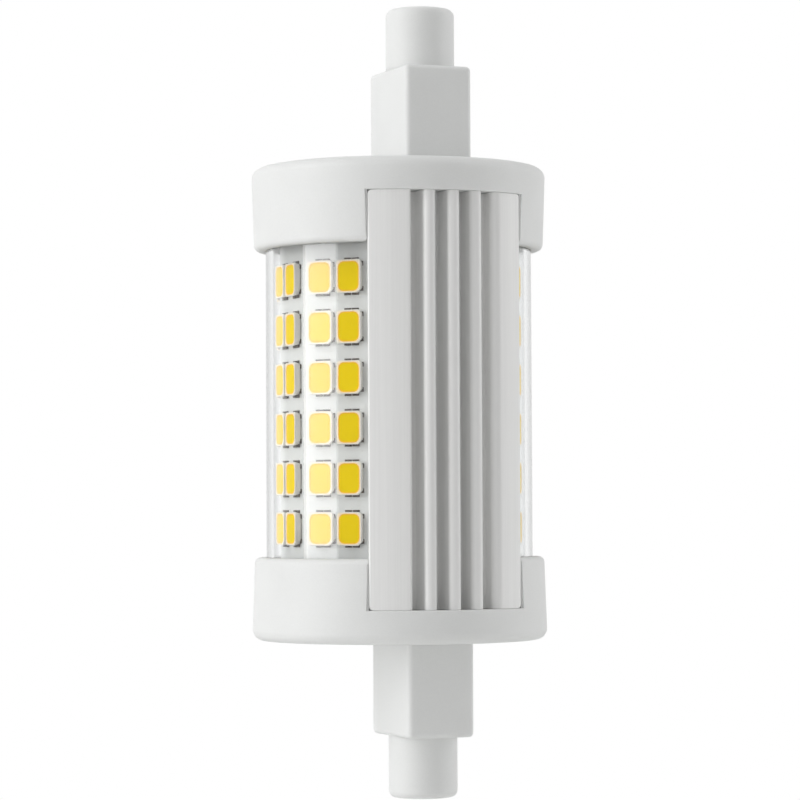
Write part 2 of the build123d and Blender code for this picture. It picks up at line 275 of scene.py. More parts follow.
def make_object(name, mesh):
    """Puts a mesh into the scene as an object at the origin."""
    piece = bpy.data.objects.new(name, mesh)
    bpy.context.scene.collection.objects.link(piece)
    return piece


def settle(piece):
    """Turns an object with modifiers into a plain mesh."""
    depsgraph = bpy.context.evaluated_depsgraph_get()
    mesh = bpy.data.meshes.new_from_object(
        piece.evaluated_get(depsgraph), preserve_all_data_layers=True, depsgraph=depsgraph
    )
    piece.modifiers.clear()
    old = piece.data
    piece.data = mesh
    bpy.data.meshes.remove(old)
    mesh.name = piece.name


def smooth(piece, sharp_angle):
    """Shades a piece smooth, keeps edges above that angle sharp and lets large faces stay flat."""
    piece.data.shade_smooth()
    piece.data.set_sharp_from_angle(angle=radians(sharp_angle))
    normals = piece.modifiers.new("normals", "WEIGHTED_NORMAL")
    normals.keep_sharp = True
    settle(piece)


def dress(piece, material, slot, *nodes):
    """Gives a finished piece its material and its body, and hides the solids it stands for. The slot is not
    used.
    """
    piece.data.materials.clear()
    piece.data.materials.append(material)
    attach(piece, BODY)
    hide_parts(*nodes)


def paint(material, *nodes):
    """Gives CAD solids that stay in view a finished material."""
    for name in nodes:
        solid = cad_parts[name]
        solid.data.materials.clear()
        solid.data.materials.append(material)


def mesh_from(bm, name):
    """Closes a bmesh with outward faces and returns its mesh."""
    bmesh.ops.recalc_face_normals(bm, faces=bm.faces)
    mesh = bpy.data.meshes.new(name)
    bm.to_mesh(mesh)
    bm.free()
    return mesh


def arc(centre, radius, start, end, steps=ARC_STEPS):
    """Points on an arc from one angle to another, in degrees."""
    turns = [radians(start + (end - start) * step / steps) for step in range(steps + 1)]
    return [(centre[0] + radius * cos(turn), centre[1] + radius * sin(turn)) for turn in turns]


def bridge(bm, lower, upper):
    """Joins two closed loops of equal length with quads."""
    for at, vertex in enumerate(lower):
        after = (at + 1) % len(lower)
        bm.faces.new((vertex, lower[after], upper[after], upper[at]))


def lathe(name, profile, axis_y, segments):
    """Turns a profile of radius and height round an upright axis. Its ends lie on the axis."""
    bm = bmesh.new()
    first = bm.verts.new((0, axis_y, profile[0][1]))
    last = bm.verts.new((0, axis_y, profile[-1][1]))
    turns = [2 * pi * step / segments for step in range(segments)]
    rings = [
        [bm.verts.new((radius * cos(turn), axis_y + radius * sin(turn), height)) for turn in turns]
        for radius, height in profile[1:-1]
    ]
    for lower, upper in zip(rings, rings[1:]):
        bridge(bm, lower, upper)
    for at in range(segments):
        after = (at + 1) % segments
        bm.faces.new((first, rings[0][at], rings[0][after]))
        bm.faces.new((last, rings[-1][after], rings[-1][at]))
    return mesh_from(bm, name)


def block(name, low, high, radius=0.0, steps=1):
    """Makes a box; with a radius, its upright and its top edges are rounded."""
    bm = bmesh.new()
    bmesh.ops.create_cube(bm, size=1.0)
    for vertex in bm.verts:
        vertex.co = Vector(
            (low[axis] + high[axis]) / 2 + vertex.co[axis] * (high[axis] - low[axis]) for axis in range(3)
        )
    if radius:
        edges = [e for e in bm.edges if max(v.co.z for v in e.verts) > (low[2] + high[2]) / 2]
        bmesh.ops.bevel(bm, geom=edges, offset=radius, segments=steps, profile=0.5, affect="EDGES")
    return mesh_from(bm, name)


def prism(name, outline, low, high, axis):
    """Makes a flat outline thick along Y or along Z."""
    bm = bmesh.new()
    ends = []
    for depth in (low, high):
        points = [(x, depth, other) if axis == "Y" else (x, other, depth) for x, other in outline]
        ends.append([bm.verts.new(point) for point in points])
        bm.faces.new(ends[-1])
    bridge(bm, *ends)
    return mesh_from(bm, name)


def fin_edge(wall_x, radius, side):
    """The rounded edge between the heat sink's outer circle and a wall that faces right or left."""
    centre_x = wall_x - side * radius
    centre_y = -sqrt((FIN_RADIUS - radius) ** 2 - centre_x**2)
    on_circle = degrees(atan2(centre_y, centre_x))
    on_wall = 0.0 if side > 0 else -180.0
    points = arc((centre_x, centre_y), radius, on_circle, on_wall)
    return points if side > 0 else points[::-1]


def combine(piece, operation, *meshes):
    """Cuts meshes from a piece, or joins them to it, in turn. The meshes are used up."""
    for mesh in meshes:
        change = piece.modifiers.new(mesh.name, "BOOLEAN")
        change.operation = operation
        change.solver = "EXACT"
        change.object = make_object(mesh.name, mesh)
    settle(piece)
    for mesh in meshes:
        bpy.data.meshes.remove(mesh)


def base_box(name, section, low_z, high_z):
    """Makes an upright box of a given width and depth on the axis of the base."""
    half_x, half_y = section[0] / 2, section[1] / 2
    return block(name, (-half_x, BASE_Y - half_y, low_z), (half_x, BASE_Y + half_y, high_z))


def neck_section(margin):
    """Gives the width and depth of the neck with a margin on every side."""
    return NECK_HIGH.x - NECK_LOW.x + 2 * margin, NECK_HIGH.y - NECK_LOW.y + 2 * margin


def make_lower(upper):
    """Copies a finished upper piece and turns it end for end."""
    name = upper.name.replace("upper", "lower")
    mesh = upper.data.copy()
    mesh.transform(Matrix.Rotation(pi, 4, "Y"))
    mesh.name = name
    return make_object(name, mesh)


def make_cap(cap):
    """A drafted cup with rounded edges, slotted for the heat sink and hollow for the leads."""
    end_x, open_x = CAP_HIGH.x, cap.open_diameter / 2
    end_z, open_z = CAP_HIGH.z, CAP_LOW.z
    flat_radius = end_x - 1.6 * cap.end_radius
    lip = 0.03 * MM
    profile = (
        [(0, end_z), (flat_radius, end_z)]
        + arc((end_x - cap.end_radius, end_z - cap.end_radius), cap.end_radius, 90, 0, 10)
        + arc((open_x - cap.open_radius, open_z + cap.open_radius), cap.open_radius, 0, -90)
        + arc((SEAT_RADIUS + lip, open_z + lip), lip, 270, 180, 3)
        + [(SEAT_RADIUS, LEDGE_Z), (0, LEDGE_Z)]
    )
    piece = make_object("upper_cap_moulding", lathe("upper_cap", profile, 0, CAP_STEPS))
    sink = bpy.context.scene.lamp_sink
    below, outside, inside = open_z - 2 * MM, -16 * MM, -9 * MM
    open_half = sink.half_span + SLIDE_FIT / 2
    closed_half = open_half + cap.slot_taper
    slot = [(-open_half, below), (open_half, below), (closed_half, SLOT_TOP), (-closed_half, SLOT_TOP)]
    shelf_radius = FIN_RADIUS - cap.shelf_drop
    shelf = [(0, below - MM), (shelf_radius, below - MM), (shelf_radius, end_z), (0, end_z)]
    shallow = make_object("shallow_slot", prism("shallow_slot", slot, outside, inside, "Y"))
    combine(shallow, "DIFFERENCE", lathe("shelf", shelf, 0, CAP_STEPS))
    combine(piece, "DIFFERENCE", shallow.data)
    soften_slot(piece, slot, cap.slot_radius)
    edge = fin_edge(open_half, sink.edge_radius, 1)
    right = [(edge[0][0], outside), *edge, (open_half, inside)]
    through = right + [(-x, y) for x, y in reversed(right)]
    start_z = LEDGE_Z - 0.5 * MM
    cavity = neck_section(-NECK_WALL)
    tenon = neck_section(TENON_WALL - NECK_WALL + SLIDE_FIT)
    chamber_x, chamber_y = 6.0 * MM, 5.0 * MM
    groove_x, groove_low, groove_high, groove_depth = 12.7 * MM, 0.8 * MM, 2.5 * MM, 1.5 * MM
    combine(
        piece,
        "DIFFERENCE",
        prism("slot", through, below, SLOT_TOP, "Z"),
        block("chamber", (-chamber_x, -chamber_y, start_z), (chamber_x, chamber_y, CHAMBER_TOP)),
        base_box("well", cavity, start_z, CHAMBER_TOP + 0.1 * MM),
        base_box("tenon_hole", tenon, CHAMBER_TOP, end_z + MM),
        block("groove", (-groove_x, groove_low, start_z), (groove_x, groove_high, LEDGE_Z + groove_depth)),
    )
    return piece


def soften_slot(piece, slot, radius):
    """Rounds the edges of the slot on the outside of the cap."""
    (_, low_z), (low_x, _), (high_x, high_z), _ = slot
    near = 0.02 * MM

    def on_slot(point):
        share = (point.z - low_z) / (high_z - low_z)
        at_side = abs(abs(point.x) - low_x - share * (high_x - low_x)) < near
        at_end = abs(point.z - high_z) < near
        return (at_side or at_end) and point.y < 0 and hypot(point.x, point.y) > FIN_RADIUS

    bm = bmesh.new()
    bm.from_mesh(piece.data)
    edges = [edge for edge in bm.edges if all(on_slot(vertex.co) for vertex in edge.verts)]
    rounding = {"offset": radius, "segments": 3, "profile": 0.5, "clamp_overlap": False}
    bmesh.ops.bevel(bm, geom=edges, affect="EDGES", **rounding)
    bm.to_mesh(piece.data)
    bm.free()


def make_neck(cap):
    """A hollow block with soft edges, on a tenon, with a low round foot for the nose."""
    low = (NECK_LOW.x, NECK_LOW.y, CAP_HIGH.z)
    mesh = block("upper_neck_block", low, NECK_HIGH, cap.neck_radius, steps=6)
    piece = make_object("upper_neck_moulding", mesh)
    cavity = neck_section(-NECK_WALL)
    tenon = neck_section(TENON_WALL - NECK_WALL)
    overlap = 0.3 * MM
    cavity_top = NECK_HIGH.z - NECK_WALL
    foot_z = NECK_HIGH.z - cap.neck_radius
    foot = [(0, foot_z), (NOSE_HIGH.x, foot_z), (NOSE_HIGH.x, NECK_HIGH.z), (0, NECK_HIGH.z)]
    combine(
        piece,
        "UNION",
        lathe("nose_foot", foot, BASE_Y, NOSE_STEPS),
        base_box("tenon", tenon, NECK_LOW.z, CAP_HIGH.z + overlap),
    )
    combine(
        piece,
        "DIFFERENCE",
        base_box("cavity", cavity, NECK_LOW.z - MM, cavity_top),
        base_box("slit", (SLIT_WIDTH, SLIT_DEPTH), cavity_top - MM, NECK_HIGH.z + MM),
    )
    return piece


def make_nose(cap):
    """A round boss with a soft edge and a recess for the contact."""
    radius = NOSE_HIGH.x
    foot_z, tip_z = NOSE_LOW.z, NOSE_HIGH.z
    lip, overlap = 0.2 * MM, 0.2 * MM
    seat = CONTACT_HIGH.x + SLIDE_FIT
    seat_low, seat_high = CONTACT_LOW.z, CONTACT_HIGH.z
    profile = (
        [(0, foot_z), (radius, foot_z)]
        + arc((radius - cap.nose_radius, tip_z - cap.nose_radius), cap.nose_radius, 0, 90, 9)
        + arc((cap.recess_radius + lip, tip_z - lip), lip, 90, 180, 4)
        + [(cap.recess_radius, seat_high), (seat, seat_high), (seat, seat_low), (0, seat_low)]
    )
    piece = make_object("upper_nose_moulding", lathe("upper_nose_boss", profile, BASE_Y, NOSE_STEPS))
    slit = base_box("slit", (SLIT_WIDTH, SLIT_DEPTH), foot_z - MM, seat_low + overlap)
    combine(piece, "DIFFERENCE", slit)
    return piece


class LAMP_OT_ends(bpy.types.Operator):
    """Makes the caps, necks and noses at both ends"""

    bl_idname = "lamp.make_ends"
    bl_label = "Caps, necks and noses"

    def execute(self, context):
        cap = context.scene.lamp_caps
        scatter = {"Subsurface Weight": 0.4, "Subsurface Radius": (1, 1, 1), "Subsurface Scale": 0.6 * MM}
        # Moulded polybutylene: an even matte white, a little translucent, with the fine grain of its mould
        plastic = patterned(
            "moulded_polybutylene_white",
            shades(cap.plastic, 0.955),
            roughness=(0.48, 0.6),
            grain_mm=0.16,
            bump_mm=0.006,
            patch_mm=5.0,
            IOR=1.54,
            **scatter,
        )
        pieces = ((make_cap(cap), "end_cap"), (make_neck(cap), "neck"), (make_nose(cap), "nose"))
        for upper, node in pieces:
            smooth(upper, sharp_angle=35)
            lower = make_lower(upper)
            dress(upper, plastic, "cap_plastic", f"upper_{node}")
            dress(lower, plastic, "cap_plastic", f"lower_{node}")
        # Nickel-plated contact: bright turned metal with fine scratches
        nickel = patterned(
            "nickel_plated_contact",
            (linear("CFC9BC"), linear("B5AFA3")),
            roughness=(0.22, 0.4),
            grain_mm=0.12,
            bump_mm=0.003,
            Metallic=1.0,
        )
        paint(nickel, "upper_contact", "lower_contact")
        return {"FINISHED"}


def sink_outline(sink):
    """The section of the extrusion, as one closed line that starts at the middle fin."""
    back = [(0.0, CORE_CORNER)]
    right = half_outline(sink, sink.channel_shift, sink.soft_radius)
    left = half_outline(sink, -sink.channel_shift, sink.edge_radius)
    return right + back + [(-x, y) for x, y in reversed(left)]


def half_outline(sink, shift, inner_radius):
    """The right half of the section, from the middle fin to the back of the core."""
    half = []
    middles = [sink.channel_pitch * (at + 0.5) + shift for at in range((sink.fins + 1) // 2)]
    walls = [(middle - sink.channel_width / 2, middle + sink.channel_width / 2) for middle in middles]
    walls[-1] = (walls[-1][0], sink.rim_start + shift)
    for near, far in walls:
        radius = (far - near) / 2
        far_radius = inner_radius if far == walls[-1][1] else sink.tip_radius
        half += fin_edge(near, sink.tip_radius, 1)
        half += arc(((near + far) / 2, -FIN_RADIUS + sink.channel_depth - radius), radius, 180, 0)
        half += fin_edge(far, far_radius, -1)
    rim_edge = fin_edge(sink.half_span, sink.edge_radius, 1)
    start, end = (degrees(atan2(y, x)) for x, y in (half[-1], rim_edge[0]))
    half += arc((0, 0), FIN_RADIUS, start, end, 10)[1:-1]
    half += rim_edge
    rim_foot = sink.half_span - sink.undercut
    for x in (rim_foot, (rim_foot + SEAT_HALF_WIDTH) / 2, SEAT_HALF_WIDTH):
        half.append((x, -sqrt(SEAT_RADIUS**2 - x**2)))
    half.append((SEAT_HALF_WIDTH, -COVER_INNER * cos(FRONT_TURN)))
    turns = [FRONT_TURN + FACET_STEP * at for at in range(BOARDS // 2)]
    return half + [(CORE_CORNER * sin(turn), -CORE_CORNER * cos(turn)) for turn in turns]


def end_outline(sink, outline, depth):
    """The section near an end: pulled in a little at the very end, and with the rims' corners rounded."""
    rise = sink.corner_radius - depth
    limit = sink.half_span - sink.corner_radius + sqrt(max(sink.corner_radius**2 - rise**2, 0.0))
    broken = 0.03 * MM
    inset = broken - sqrt(max(broken**2 - max(broken - depth, 0.0) ** 2, 0.0))
    points = []
    for at, (x, y) in enumerate(outline):
        before, after = outline[at - 1], outline[(at + 1) % len(outline)]
        run_x, run_y = after[0] - before[0], after[1] - before[1]
        size = hypot(run_x, run_y)
        x, y = x - inset * run_y / size, y + inset * run_x / size
        in_rim = y < -SEAT_HALF_WIDTH
        points.append((max(-limit, min(limit, x)) if in_rim else x, y))
    return points


class LAMP_OT_heat_sink(bpy.types.Operator):
    """Makes the finned heat sink with its hollow faceted core"""

    bl_idname = "lamp.make_heat_sink"
    bl_label = "Heat sink"

    def execute(self, context):
        sink = context.scene.lamp_sink
        outline = sink_outline(sink)
        bore_corner = (CORE_APOTHEM - sink.core_wall) / cos(FACET_STEP / 2)
        turns = [FRONT_TURN + FACET_STEP * at for at in range(BOARDS + 1)]
        bore = [(bore_corner * sin(turn), -bore_corner * cos(turn)) for turn in turns]
        bm = bmesh.new()
        # Steps down the rounded corners, closest at the ends, where the corners turn fastest
        depths = [share * sink.corner_radius for share in (0.0, 0.04, 0.12, 0.26, 0.5, 1.0)]
        heights = [(SINK_LOW.z + depth, depth) for depth in depths]
        heights += [(SINK_HIGH.z - depth, depth) for depth in reversed(depths)]
        rings = [
            [bm.verts.new((x, y, height)) for x, y in end_outline(sink, outline, depth)]
            for height, depth in heights
        ]
        holes = [[bm.verts.new((x, y, height)) for x, y in bore] for height in (SINK_LOW.z, SINK_HIGH.z)]
        for lower, upper in zip(rings, rings[1:]):
            bridge(bm, lower, upper)
        bridge(bm, *holes)
        for ring, hole in ((rings[0], holes[0]), (rings[-1], holes[1])):
            sides = [(loop[at - 1], loop[at]) for loop in (ring, hole) for at in range(len(loop))]
            bmesh.ops.triangle_fill(bm, edges=[bm.edges.get(side) for side in sides], use_beauty=True)
        piece = make_object("finned_heat_sink", mesh_from(bm, "finned_heat_sink"))
        smooth(piece, sharp_angle=32)
        # Extruded aluminium, left bare: a soft grey sheen broken by fine die lines along its length
        metal = patterned(
            "extruded_aluminium",
            shades(sink.metal, 0.93),
            roughness=(0.45, 0.6),
            grain_mm=0.2,
            bump_mm=0.003,
            stretch=(1, 1, 0.012),
            patch_mm=1.6,
            Metallic=0.15,
        )
        dress(piece, metal, "extruded_aluminium", "heat_sink")
        return {"FINISHED"}


def clear_plastic(cover):
    """Extruded polycarbonate: clear, with a high polish and the faint draw lines of its die."""
    material, add = start_material("clear_polycarbonate")
    clear, dim = tuple(cover.plastic), tuple(cover.edge)
    line_mm, line_depth = 1.2, 0.0006 * MM
    place = add("ShaderNodeTexCoord").outputs["Object"]
    scaled = add("ShaderNodeMapping", {"Vector": place, "Scale": (1, 1, 0.01)})
    lines = add("ShaderNodeTexNoise", {"Vector": scaled, "Scale": per_mm(line_mm), "Detail": 2.0})
    relief = add("ShaderNodeBump", {"Height": lines, "Distance": line_depth, "Strength": 1.0})
    grazing = add("ShaderNodeLayerWeight", {"Blend": 0.5}).outputs["Facing"]
    along = add("ShaderNodeMapRange", {"Value": grazing, "From Min": 0.66, "From Max": 0.84})
    tint = add("ShaderNodeMix", {"Factor": along, 6: clear, 7: dim}, data_type="RGBA")
    polish = {"Roughness": 0.02, "IOR": 1.585, "Transmission Weight": 1.0}
    glass = add("ShaderNodeBsdfPrincipled", {"Base Color": tint, "Normal": relief, **polish})
    shadow = add("ShaderNodeBsdfTransparent", {"Color": clear})
    ray = add("ShaderNodeLightPath").outputs["Is Shadow Ray"]
    mix = add("ShaderNodeMixShader", {0: ray, 1: glass, 2: shadow})
    add("ShaderNodeOutputMaterial", {"Surface": mix})
    return material


class LAMP_OT_cover(bpy.types.Operator):
    """Makes the clear cover round the diodes"""

    bl_idname = "lamp.make_cover"
    bl_label = "Clear cover"

    def execute(self, context):
        cover = context.scene.lamp_cover
        outer, inner = COVER_HIGH.x, COVER_INNER
        edge = SEAT_HALF_WIDTH + SLIDE_FIT
        outer_turn, inner_turn = degrees(asin(edge / outer)), degrees(asin(edge / inner))
        section = arc((0, 0), outer, outer_turn - 90, 270 - outer_turn, cover.segments)
        section += arc((0, 0), inner, 270 - inner_turn, inner_turn - 90, cover.segments)
        bm = bmesh.new()
        lower, upper = ([bm.verts.new((x, y, z)) for x, y in section] for z in (COVER_LOW.z, COVER_HIGH.z))
        bridge(bm, lower, upper)
        half = len(section) // 2
        for ring in (lower, upper):
            for at in range(half - 1):
                bm.faces.new((ring[at], ring[at + 1], ring[-at - 2], ring[-at - 1]))
        piece = make_object("clear_cover_tube", mesh_from(bm, "clear_cover_tube"))
        smooth(piece, sharp_angle=40)
        dress(piece, clear_plastic(cover), "clear_plastic", "clear_cover")
        return {"FINISHED"}


def board_array():
    """Builds the node tree that sets one package out in rows and columns on every board."""
    tree = bpy.data.node_groups.new("diodes_on_boards", "GeometryNodeTree")
    sockets = {
        "NodeSocketObject": ("Package",),
        "NodeSocketMaterial": ("Finish",),
        "NodeSocketInt": ("Columns", "Rows", "Boards"),
        "NodeSocketFloat": ("Column Pitch", "Row Pitch", "Face Distance", "First Board", "Board Step"),
    }
    for kind, names in sockets.items():
        for name in names:
            tree.interface.new_socket(name=name, in_out="INPUT", socket_type=kind)
    tree.interface.new_socket(name="Geometry", in_out="OUTPUT", socket_type="NodeSocketGeometry")
    add = partial(add_node, tree)
    given = add("NodeGroupInput").outputs
    counts = {"Vertices X": given["Columns"], "Vertices Y": given["Rows"]}
    spans = {}
    for side, count, pitch in (("Size X", "Columns", "Column Pitch"), ("Size Y", "Rows", "Row Pitch")):
        gaps = add("ShaderNodeMath", {0: given[count], 1: 1.0}, operation="SUBTRACT")
        spans[side] = add("ShaderNodeMath", {0: gaps, 1: given[pitch]}, operation="MULTIPLY")
    grid = add("GeometryNodeMeshGrid", {**spans, **counts})
    outward = add("ShaderNodeMath", {0: given["Face Distance"], 1: -1.0}, operation="MULTIPLY")
    shift = add("ShaderNodeCombineXYZ", {"Y": outward})
    standing = {"Geometry": grid, "Translation": shift, "Rotation": (pi / 2, 0, 0)}
    upright = add("GeometryNodeTransform", standing)
    package = add("GeometryNodeObjectInfo", {"Object": given["Package"], "As Instance": True})
    placed = {"Points": upright, "Instance": package.outputs["Geometry"]}
    one_board = add("GeometryNodeInstanceOnPoints", placed)
    spread = add("FunctionNodeRandomValue", {"Seed": 7}, data_type="FLOAT")
    toned = add(
        "GeometryNodeStoreNamedAttribute",
        {"Geometry": one_board, "Name": "tone", "Value": spread},
        data_type="FLOAT",
        domain="INSTANCE",
    )
    row = add("GeometryNodeMeshLine", {"Count": given["Boards"], "Offset": (0, 0, 0)})
    index = add("GeometryNodeInputIndex")
    turning = {0: index, 1: given["Board Step"], 2: given["First Board"]}
    steps = add("ShaderNodeMath", turning, operation="MULTIPLY_ADD")
    turn = add("ShaderNodeCombineXYZ", {"Z": steps})
    all_boards = add("GeometryNodeInstanceOnPoints", {"Points": row, "Instance": toned, "Rotation": turn})
    real = add("GeometryNodeRealizeInstances", {"Geometry": all_boards})
    finished = add("GeometryNodeSetMaterial", {"Geometry": real, "Material": given["Finish"]})
    add("NodeGroupOutput", {"Geometry": finished})
    return tree


def rounded_outline(width, height, radii, cut=False):
    """A rounded rectangle in X and Z with four points a corner; the lower right one may be cut straight."""
    points = []
    for corner, (side_x, side_z) in enumerate(((1, 1), (-1, 1), (-1, -1), (1, -1))):
        radius = radii[corner]
        centre = (side_x * (width / 2 - radius), side_z * (height / 2 - radius))
        bent = arc(centre, radius, 90 * corner, 90 * corner + 90, 3)
        if cut and corner == 3:
            (x0, z0), (x1, z1) = bent[0], bent[-1]
            bent = [(x0 + (x1 - x0) * step / 3, z0 + (z1 - z0) * step / 3) for step in range(4)]
        points += bent
    return points


def loops_mesh(name, loops, attribute):
    """Joins outlines at rising heights off the board into a closed mesh and keeps one value for each."""
    bm = bmesh.new()
    layer = bm.verts.layers.float.new(attribute)
    rings = []
    for outline, height, value in loops:
        ring = [bm.verts.new((x, -height, z)) for x, z in outline]
        for vertex in ring:
            vertex[layer] = value
        rings.append(ring)
    for lower, upper in zip(rings, rings[1:]):
        bridge(bm, lower, upper)
    bm.faces.new(rings[0])
    bm.faces.new(rings[-1])
    return mesh_from(bm, name)


def set_out(tree, mesh, material, values):
    """Repeats one mesh round the core and gives the plain piece."""
    one = make_object(f"one_{mesh.name}", mesh)
    piece = make_object(mesh.name, bpy.data.meshes.new(mesh.name))
    array = piece.modifiers.new("boards", "NODES")
    array.node_group = tree
    given = {"Package": one, "Finish": material, **values}
    for socket in tree.interface.items_tree:
        if socket.in_out == "INPUT":
            array[socket.identifier] = given.get(socket.name, 0.0)
    settle(piece)
    bpy.data.objects.remove(one)
    smooth(piece, sharp_angle=50)
    return piece


def bead_mesh():
    """A bead that fills the gap between two boards."""
    half_step, half_length = FACET_STEP / 2, 19.3 * MM
    board_gap, clearance = 0.03 * MM, 0.01 * MM
    board_half = CORE_CORNER * sin(half_step) - board_gap

    def gap_point(share):
        apothem = CORE_APOTHEM + share * (BOARD_FACE - CORE_APOTHEM)
        across = apothem * sin(half_step) - board_half * cos(half_step)
        outward = apothem * cos(half_step) + board_half * sin(half_step)
        return across - clearance, outward

    (foot, foot_out), (edge, edge_out) = gap_point(0.05), gap_point(0.98)
    section = [(-foot, -foot_out), (foot, -foot_out), (edge, -edge_out), (-edge, -edge_out)]
    return prism("thermal_compound_beads", section, -half_length, half_length, "Z")


def housing_mesh(diode):
    """A moulded cup with a rounded window and one corner cut off."""
    corner, soft, slope, window_depth = 0.28 * MM, 0.08 * MM, 0.1 * MM, 0.28 * MM
    radii = (corner, corner, corner, diode.notch)
    lean = 2 * diode.draft
    wide, tall = diode.window_width, diode.window_height
    foot = rounded_outline(diode.width - lean, diode.height - lean, radii, cut=True)
    outer = rounded_outline(diode.width, diode.height, radii, cut=True)
    top = rounded_outline(diode.width - soft, diode.height - soft, radii, cut=True)
    window = rounded_outline(wide, tall, (diode.window_radius,) * 4)
    floor = rounded_outline(wide - 2 * slope, tall - 2 * slope, (diode.window_radius - slope,) * 4)
    loops = (
        (foot, diode.lift, 0.0),
        (outer, diode.rise - soft, 0.0),
        (top, diode.rise, 0.0),
        (window, diode.rise, 1.0),
        (floor, diode.rise - window_depth, 1.0),
    )
    return loops_mesh("diode_housings", loops, "rim")


def phosphor_mesh(diode):
    """The filling of a window, sunk a little towards its middle."""
    loops = []
    # Each ring: how much smaller than the window it is and how far below the rim it lies, in mm
    for inset, sink in ((0.2, 0.27), (0.02, 0.02), (0.22, 0.03), (0.5, 0.05)):
        wide, tall = diode.window_width - inset * MM, diode.window_height - inset * MM
        outline = rounded_outline(wide, tall, (diode.window_radius - inset * MM / 2,) * 4)
        loops.append((outline, diode.rise - sink * MM, inset))
    return loops_mesh("diode_phosphors", loops, "inset")


def terminal_mesh(diode):
    """Two soldered feet at each end of a package, and their edges along its sides."""
    bm = bmesh.new()
    thick, end_z = 0.1 * MM, diode.height / 2
    inner, shoulder, tip = end_z - 0.65 * MM, end_z - 0.2 * MM, end_z + 0.18 * MM
    # Each foot: its middle and its width across the package, then where it starts and ends along it
    feet = (
        (-0.43 * MM, 0.72 * MM, shoulder, tip),
        (0.43 * MM, 0.72 * MM, shoulder, tip),
        (0.0, 2.62 * MM, inner, shoulder),
    )
    for end in (-1, 1):
        for middle, width, near, far in feet:
            for vertex in bmesh.ops.create_cube(bm, size=1.0)["verts"]:
                x, y, z = vertex.co
                along = (near + far) / 2 + z * (far - near)
                vertex.co = (middle + x * width, (y - 0.5) * thick, end * along)
    return mesh_from(bm, "diode_terminals")


def housing_plastic(diode):
    """Moulded white nylon: a satin white, tinted cream beside the phosphor, with a painted warm glow there.
    """
    material, add = start_material("white_nylon_housing")
    cream, warm = linear("FFE6C4"), linear("FFE2B0")
    rim = add("ShaderNodeAttribute", attribute_name="rim").outputs["Fac"]
    place = add("ShaderNodeTexCoord").outputs["Object"]
    grain = add("ShaderNodeTexNoise", {"Vector": place, "Scale": per_mm(0.3), "Detail": 2.0})
    tone = add("ShaderNodeMix", {"Factor": rim, 6: tuple(diode.housing), 7: cream}, data_type="RGBA")
    # Painted glow: the housing gives off a faint warm light beside the window, though the diodes are unlit
    glow = add("ShaderNodeMapRange", {"Value": rim, "To Min": 0.02, "To Max": 0.16})
    gloss = add("ShaderNodeMapRange", {"Value": grain, "To Min": 0.3, "To Max": 0.5})
    light = {"Emission Color": warm, "Emission Strength": glow}
    satin = {"Base Color": tone, "Roughness": gloss, "IOR": 1.53}
    shader = add("ShaderNodeBsdfPrincipled", {**satin, **light})
    add("ShaderNodeOutputMaterial", {"Surface": shader})
    return material


def phosphor_silicone(diode):
    """Silicone filled with phosphor: deep yellow, orange and then cream towards its edge, with a faint
    painted glow of its own colour.
    """
    material, add = start_material("phosphor_filled_silicone")
    inset = add("ShaderNodeAttribute", attribute_name="inset").outputs["Fac"]
    tone = add("ShaderNodeAttribute", attribute_name="tone").outputs["Fac"]
    ramp = add("ShaderNodeValToRGB", {"Fac": inset})
    stops = ramp.color_ramp.elements
    stops[0].position, stops[0].color = 0.02, linear("F6CC86")
    stops[1].position, stops[1].color = 0.48, tuple(diode.phosphor)
    stops.new(0.16).color = tuple(diode.halo)
    place = add("ShaderNodeTexCoord").outputs["Object"]
    grain = add("ShaderNodeTexNoise", {"Vector": place, "Scale": per_mm(0.18), "Detail": 2.0})
    both = add("ShaderNodeMath", {0: tone, 1: 0.5, 2: grain}, operation="MULTIPLY_ADD")
    bright = add("ShaderNodeMapRange", {"Value": both, "From Max": 1.5, "To Min": 0.94, "To Max": 1.05})
    mixed = add("ShaderNodeHueSaturation", {"Color": ramp, "Value": bright})
    relief = add("ShaderNodeBump", {"Height": grain, "Distance": 0.004 * MM, "Strength": 1.0})
    matte = {"Roughness": 0.6, "IOR": 1.43, "Specular IOR Level": 0.0}
    # Painted glow: the unlit phosphor gives off a little light in its own colour
    light = {"Emission Color": tuple(diode.phosphor), "Emission Strength": 0.18}
    shader = add("ShaderNodeBsdfPrincipled", {"Base Color": mixed, "Normal": relief, **matte, **light})
    add("ShaderNodeOutputMaterial", {"Surface": shader})
    return material


def tinned_solder():
    """Tinned feet in solder: grey metal broken by near-black patches, which stand for dark flux and for
    painted shade in the gaps round the feet.
    """
    return patterned(
        "tinned_solder",
        # The near-black tone is partly dark flux and partly painted shade under the package
        (linear("1C1714"), linear("7A7068")),
        roughness=(0.3, 0.5),
        grain_mm=0.25,
        bump_mm=0.01,
        patch_mm=0.5,
        Metallic=0.3,
    )


